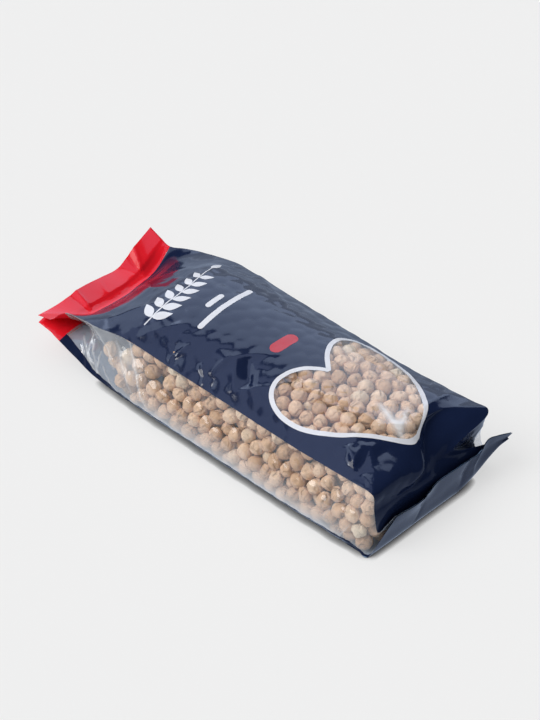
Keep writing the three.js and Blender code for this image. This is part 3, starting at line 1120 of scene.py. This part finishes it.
def ball(cells):
    """A ball made from a cube with cells by cells faces on each side."""
    t = np.tan(np.linspace(-1, 1, cells + 1) * math.pi / 4)
    vertices, faces = [], []
    for axis in range(3):
        for sign in (-1, 1):
            u, v = np.meshgrid(t, t, indexing="ij")
            grid = np.zeros((cells + 1, cells + 1, 3))
            grid[..., axis] = sign
            grid[..., (axis + 1) % 3] = u
            grid[..., (axis + 2) % 3] = v * sign
            corner = len(vertices) + np.arange((cells + 1) ** 2).reshape(cells + 1, -1)
            vertices.extend(grid.reshape(-1, 3).tolist())
            faces.extend(grid_faces(corner).tolist())
    vertices = np.array(vertices)
    keys, inverse = np.unique(vertices.round(6), axis=0, return_inverse=True)
    faces = inverse.reshape(-1)[np.array(faces)]
    return keys / np.linalg.norm(keys, axis=1, keepdims=True), faces


# %% Kinds of chickpea
def pea_shape(stretch, beak, furrow, hollows, seed):
    """A chickpea of radius 1, with its beak towards +X and its furrow along y = 0."""
    points, faces = ball(CELLS)
    x, y, z = points.T
    radius = np.ones(len(points))
    radius += beak * np.exp(-((1 - x) / 0.10))
    radius -= furrow * np.exp(-((y / 0.22) ** 2)) * np.clip(0.25 + z, 0, 1) * np.clip(1 - x, 0, 1)
    shift = Vector((seed * 3.1, seed * 1.7, seed * 2.3))
    dents = np.array([noise.noise(Vector(p) * 1.3 + shift) for p in points.tolist()])
    small = np.array([noise.noise(Vector(p) * 2.9 + shift) for p in points.tolist()])
    radius += hollows * (dents - 0.5 * np.abs(small))
    shaped = points * radius[:, None] * np.array(stretch)
    shaped /= np.linalg.norm(shaped, axis=1).mean()
    mesh = bpy.data.meshes.new("chickpea shape")
    mesh.from_pydata((shaped * MM).tolist(), [], faces.tolist())
    mesh.update()
    return mesh


KINDS = {
    "plump": pea_shape((1.03, 1.0, 0.97), 0.18, 0.10, 0.10, 1),
    "furrowed": pea_shape((1.05, 1.02, 0.94), 0.22, 0.20, 0.14, 2),
    "long": pea_shape((1.12, 0.96, 0.93), 0.24, 0.14, 0.14, 3),
    "flattened": pea_shape((1.04, 1.05, 0.88), 0.16, 0.14, 0.18, 4),
    "wrinkled": pea_shape((1.02, 0.98, 0.98), 0.20, 0.18, 0.30, 5),
}
print("kinds:", len(KINDS), "with", len(KINDS["plump"].polygons), "faces each")

# %% [markdown]
# The skin is dry and dull. Its colour runs from brown to tan, with a few pale and greyish ones among
# them, so each chickpea carries a number of its own, its tint, that picks a colour from a ramp. Noise
# adds blotches, and ridged noise adds the fine wrinkles that the few faces can't show.

# %% Chickpea material
def pea_material():
    """Dry skin: tan with paler and greyer chickpeas among it, darker in its wrinkles."""
    material, tree, output = new_material("dry chickpea skin")
    shader = principled(tree, (0.6, 0.4, 0.25), 0.72)
    shader.inputs["Specular IOR Level"].default_value = 0.3
    place = add_node(tree, "ShaderNodeTexCoord")
    tint = add_node(tree, "ShaderNodeAttribute", attribute_name="tint")
    ramp = add_node(tree, "ShaderNodeValToRGB")
    tones = [
        (0.0, (0.56, 0.35, 0.20)), (0.25, (0.70, 0.46, 0.29)), (0.62, (0.78, 0.54, 0.36)),
        (0.88, (0.82, 0.60, 0.42)), (0.96, (0.76, 0.59, 0.42)), (1.0, (0.80, 0.67, 0.50)),
    ]
    stops = ramp.color_ramp.elements
    stops[0].position = tones[0][0]
    stops[1].position = tones[-1][0]
    for position, _ in tones[1:-1]:
        stops.new(position)
    for stop, (_, colour) in zip(stops, tones):
        stop.color = (*colour, 1.0)
    blotch = add_node(tree, "ShaderNodeTexNoise", {"Scale": 330.0, "Detail": 4.0})
    fine = {"Scale": 210.0, "Detail": 2.5, "Distortion": 0.6}
    wrinkle = add_node(tree, "ShaderNodeTexNoise", fine, noise_type="RIDGED_MULTIFRACTAL")
    reach = {"From Min": 0.3, "From Max": 0.7, "To Min": 0.82, "To Max": 1.08}
    shade = add_node(tree, "ShaderNodeMapRange", reach)
    tone = add_node(tree, "ShaderNodeMix", {"Factor": 1.0}, data_type="RGBA", blend_type="MULTIPLY")
    depth = {"Strength": 1.0, "Distance": 0.0030}
    bump = add_node(tree, "ShaderNodeBump", depth, invert=True)
    join(tree, place, "Object", blotch, "Vector")
    join(tree, place, "Object", wrinkle, "Vector")
    join(tree, tint, "Fac", ramp, "Fac")
    join(tree, blotch, "Fac", shade, "Value")
    join(tree, ramp, "Color", tone, "A")
    join(tree, shade, "Result", tone, "B")
    join(tree, wrinkle, "Fac", bump, "Height")
    join(tree, bump, "Normal", shader, "Normal")
    join(tree, tone, "Result", shader, "Base Color")
    join(tree, shader, "BSDF", output, "Surface")
    return material


chickpea_material = pea_material()
print("chickpea material made")

# %% [markdown]
# Placing hundreds of chickpeas by hand would be slow, and hard to change later. A tree of geometry
# nodes does it: points go in, and at each one stands a chickpea with its own size, turn and tint.
# The tree ends by making the copies real mesh, because mere instances are lost in an export.

# %% Node tree that places chickpeas
FULL_TURN = 6.2832


def scatter_tree():
    """Points become turned chickpeas of one kind, each with a tint of its own."""
    tree = bpy.data.node_groups.new("place chickpeas", "GeometryNodeTree")
    sockets = {"Points": "Geometry", "Chickpea": "Object", "Skin": "Material", "Seed": "Int"}
    for name, kind in sockets.items():
        tree.interface.new_socket(name, in_out="INPUT", socket_type="NodeSocket" + kind)
    tree.interface.new_socket("Chickpeas", in_out="OUTPUT", socket_type="NodeSocketGeometry")
    start = add_node(tree, "NodeGroupInput")
    end = add_node(tree, "NodeGroupOutput")
    shape = add_node(tree, "GeometryNodeObjectInfo")
    size = add_node(tree, "GeometryNodeInputNamedAttribute", {"Name": "size"}, data_type="FLOAT")
    turns = {"Min": (0, 0, 0), "Max": (FULL_TURN, FULL_TURN, FULL_TURN)}
    turn = add_node(tree, "FunctionNodeRandomValue", turns, data_type="FLOAT_VECTOR")
    tint = add_node(tree, "FunctionNodeRandomValue", data_type="FLOAT")
    rotation = add_node(tree, "FunctionNodeEulerToRotation")
    place = add_node(tree, "GeometryNodeInstanceOnPoints")
    store = add_node(
        tree, "GeometryNodeStoreNamedAttribute", {"Name": "tint"}, data_type="FLOAT", domain="INSTANCE"
    )
    realize = add_node(tree, "GeometryNodeRealizeInstances")
    smooth = add_node(tree, "GeometryNodeSetShadeSmooth")
    paint = add_node(tree, "GeometryNodeSetMaterial")
    join(tree, start, "Points", place, "Points")
    join(tree, start, "Chickpea", shape, "Object")
    join(tree, start, "Seed", turn, "Seed")
    join(tree, start, "Seed", tint, "Seed")
    join(tree, shape, "Geometry", place, "Instance")
    join(tree, turn, "Value", rotation, "Euler")
    join(tree, rotation, "Rotation", place, "Rotation")
    join(tree, size, "Attribute", place, "Scale")
    join(tree, place, "Instances", store, "Geometry")
    tint_value = [o for o in tint.outputs if o.type == "VALUE"][0]
    tree.links.new(tint_value, store.inputs["Value"])
    join(tree, store, "Geometry", realize, "Geometry")
    join(tree, realize, "Geometry", smooth, "Geometry")
    join(tree, smooth, "Geometry", paint, "Geometry")
    join(tree, start, "Skin", paint, "Material")
    join(tree, paint, "Geometry", end, "Chickpeas")
    return tree


# %% Keep chickpeas inside the film
FILM_CLEARANCE = 0.15
LEAST_RADIUS = 0.5


def press_inside(plain, places, each):
    """Flatten every chickpea where it would go through the film, by a ray from its middle."""
    points = np.empty(3 * len(plain.vertices))
    plain.vertices.foreach_get("co", points)
    points = points.reshape(-1, 3) / MM
    for k, point in enumerate(points):
        middle = Vector(places[k // each])
        ray = Vector(point) - middle
        hit = film_tree.ray_cast(middle, ray.normalized(), ray.length + FILM_CLEARANCE)
        if hit[0] is not None:
            points[k] = middle + ray.normalized() * max(hit[3] - FILM_CLEARANCE, LEAST_RADIUS)
    plain.vertices.foreach_set("co", (points * MM).reshape(-1))
    plain.update()


# %% Place one kind of chickpea
def place_kind(tree, kind, mesh, places, sizes, seed):
    """One plain mesh with every chickpea of a kind."""
    points = bpy.data.meshes.new("points")
    points.from_pydata((places * MM).tolist(), [], [])
    attribute = points.attributes.new("size", "FLOAT", "POINT")
    attribute.data.foreach_set("value", sizes)
    carrier = new_object("carrier", points)
    shape = new_object("shape", mesh)
    modifier = carrier.modifiers.new("place", "NODES")
    modifier.node_group = tree
    names = {item.name: item.identifier for item in tree.interface.items_tree}
    modifier[names["Chickpea"]] = shape
    modifier[names["Skin"]] = chickpea_material
    modifier[names["Seed"]] = seed
    evaluated = carrier.evaluated_get(bpy.context.evaluated_depsgraph_get())
    plain = bpy.data.meshes.new_from_object(evaluated)
    carrier.modifiers.remove(modifier)
    press_inside(plain, places, len(mesh.vertices))
    bpy.data.objects.remove(carrier)
    bpy.data.objects.remove(shape)
    piece = new_object("chickpeas_" + kind, plain)
    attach(piece, "root")
    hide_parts("bag")
    print(piece.name, len(places), "chickpeas,", 2 * len(plain.polygons), "triangles")


# %% [markdown]
# Navy film hides most of the filling, so only chickpeas near clear film are placed. They are found by
# their distance to the nearest point of clear film. The kinds are shared out by a seeded draw.

# %% Place the chickpeas that can be seen
SEEN_DEPTH = 17.0
KIND_SHARES = [0.32, 0.25, 0.17, 0.15, 0.11]
SNUG = 1.02
clear_points = np.vstack([
    film[section_starts[3]: section_starts[12]][:, NEAR].reshape(-1, 3),
    film[section_starts[3]: section_starts[12]][:, FAR].reshape(-1, 3),
    film[:-1, FRONT[:-1]][window],
])
clear_tree = KDTree(len(clear_points))
for index, point in enumerate(clear_points):
    clear_tree.insert(point, index)
clear_tree.balance()
seen = np.array([clear_tree.find(place)[2] < SEEN_DEPTH for place in pea_places.tolist()])
rng = np.random.default_rng(11)
kinds = rng.choice(len(KINDS), len(pea_places), p=KIND_SHARES)
tree = scatter_tree()
film_tree = film_walls()
for index, (kind, mesh) in enumerate(KINDS.items()):
    chosen = seen & (kinds == index)
    place_kind(tree, kind, mesh, pea_places[chosen], pea_radii[chosen] * SNUG, 20 + index)
print("chickpeas placed:", seen.sum(), "of", len(seen))

# %% [markdown]
# The photograph was taken in a white studio. Two soft suns, a pale surround and the floor light the
# pouch evenly. The film is glossy, so what it mirrors matters as much: panels of white and of pale
# blue light stand where the photograph shows their reflections, and they show only in gloss.

# %% Kinds of light
def sun(name, direction, strength, spread):
    """A soft sun that isn't mirrored in the film."""
    data = bpy.data.lights.new(name, "SUN")
    data.energy = strength
    data.angle = math.radians(spread)
    light = new_object(name, data)
    light.rotation_euler = Vector(direction).to_track_quat("Z", "Y").to_euler()
    light.visible_glossy = False


def panel_light(name, direction, distance, width, height, radiance, colour=(1.0, 1.0, 1.0)):
    """A panel of even light at a distance from the pouch, facing it, that only shows in gloss."""
    data = bpy.data.lights.new(name, "AREA")
    data.color = colour
    data.shape = "RECTANGLE"
    data.size = width
    data.size_y = height
    data.energy = radiance * math.pi * width * height
    light = new_object(name, data)
    away = Vector(direction).normalized()
    light.location = Vector((0, 0, 0.03)) + away * distance
    light.rotation_euler = away.to_track_quat("Z", "Y").to_euler()
    light.visible_diffuse = False
    light.visible_camera = False


# %% Light
COOL = (0.61, 0.736, 1.0)
sun("key", (-0.60, 0.36, 0.74), 1.95, 40)
sun("top", (0.10, 0.30, 0.95), 1.1, 75)
panel_light("far panel", (0.58, 0.54, 0.60), 1.5, 1.5, 1.2, 1.97, COOL)
panel_light("top panel", (-0.26, 0.32, 0.91), 1.4, 1.2, 1.0, 1.3, (0.55, 0.66, 1.0))
panel_light("glint panel", (-0.60, 0.54, 0.59), 1.4, 0.24, 0.18, 8.5)
panel_light("left panel", (-0.16, 0.80, 0.575), 1.5, 1.5, 0.46, 1.9, COOL)
panel_light("low panel", (0.70, 0.70, 0.11), 1.5, 2.5, 0.50, 0.78, (0.70, 0.81, 1.0))
panel_light("near panel", (-0.76, 0.52, 0.40), 1.6, 1.0, 0.7, 3.5)

world = bpy.data.worlds.new("studio")
world.use_nodes = True
world.node_tree.nodes["Background"].inputs["Color"].default_value = (0.97, 0.985, 1.0, 1.0)
world.node_tree.nodes["Background"].inputs["Strength"].default_value = 0.30
world.cycles_visibility.glossy = False
bpy.context.scene.world = world
bpy.context.scene.view_settings.view_transform = "Standard"

# %% [markdown]
# The floor is plain and pale. It glows a little, so that it stays even out to the picture's edges,
# and the glow fades within a few millimetres of the pouch, where a real floor gets hardly any light.
# In the photograph the film mirrors a cooler tone than the white floor shows to the camera, so a
# second, faintly blue plane under the floor is seen in reflections only.

# %% Floor
FLOOR_REACH = 8.0
SHADE_POWER = 3.0


def make_floor(name, height, albedo, emission, shade_distance=0.0):
    """A square plane that reflects albedo and glows by emission, less near other things."""
    reach = FLOOR_REACH
    mesh = bpy.data.meshes.new(name)
    mesh.from_pydata(
        [(-reach, -reach, 0), (reach, -reach, 0), (reach, reach, 0), (-reach, reach, 0)],
        [], [(0, 1, 2, 3)],
    )
    material, tree, output = new_material(name)
    shader = principled(tree, (albedo, albedo, albedo), 0.9)
    shader.inputs["Specular IOR Level"].default_value = 0.0
    shader.inputs["Emission Color"].default_value = (*emission, 1.0)
    shader.inputs["Emission Strength"].default_value = 1.0
    join(tree, shader, "BSDF", output, "Surface")
    if shade_distance:
        shade = add_node(tree, "ShaderNodeAmbientOcclusion", {"Distance": shade_distance}, samples=8)
        power = add_node(tree, "ShaderNodeMath", {1: SHADE_POWER}, operation="POWER")
        join(tree, shade, "AO", power, 0)
        join(tree, power, "Value", shader, "Emission Strength")
    mesh.materials.append(material)
    floor = new_object(name, mesh)
    floor.location.z = height
    return floor


floor = make_floor("floor", -0.0002, 0.24, (0.606, 0.606, 0.606), 0.0045)
floor.visible_glossy = False
floor_in_gloss = make_floor("floor_in_gloss", -0.0004, 0.0, (0.46, 0.55, 0.72))
floor_in_gloss.visible_diffuse = False
floor_in_gloss.visible_camera = False
floor_in_gloss.visible_shadow = False
print("floor made")
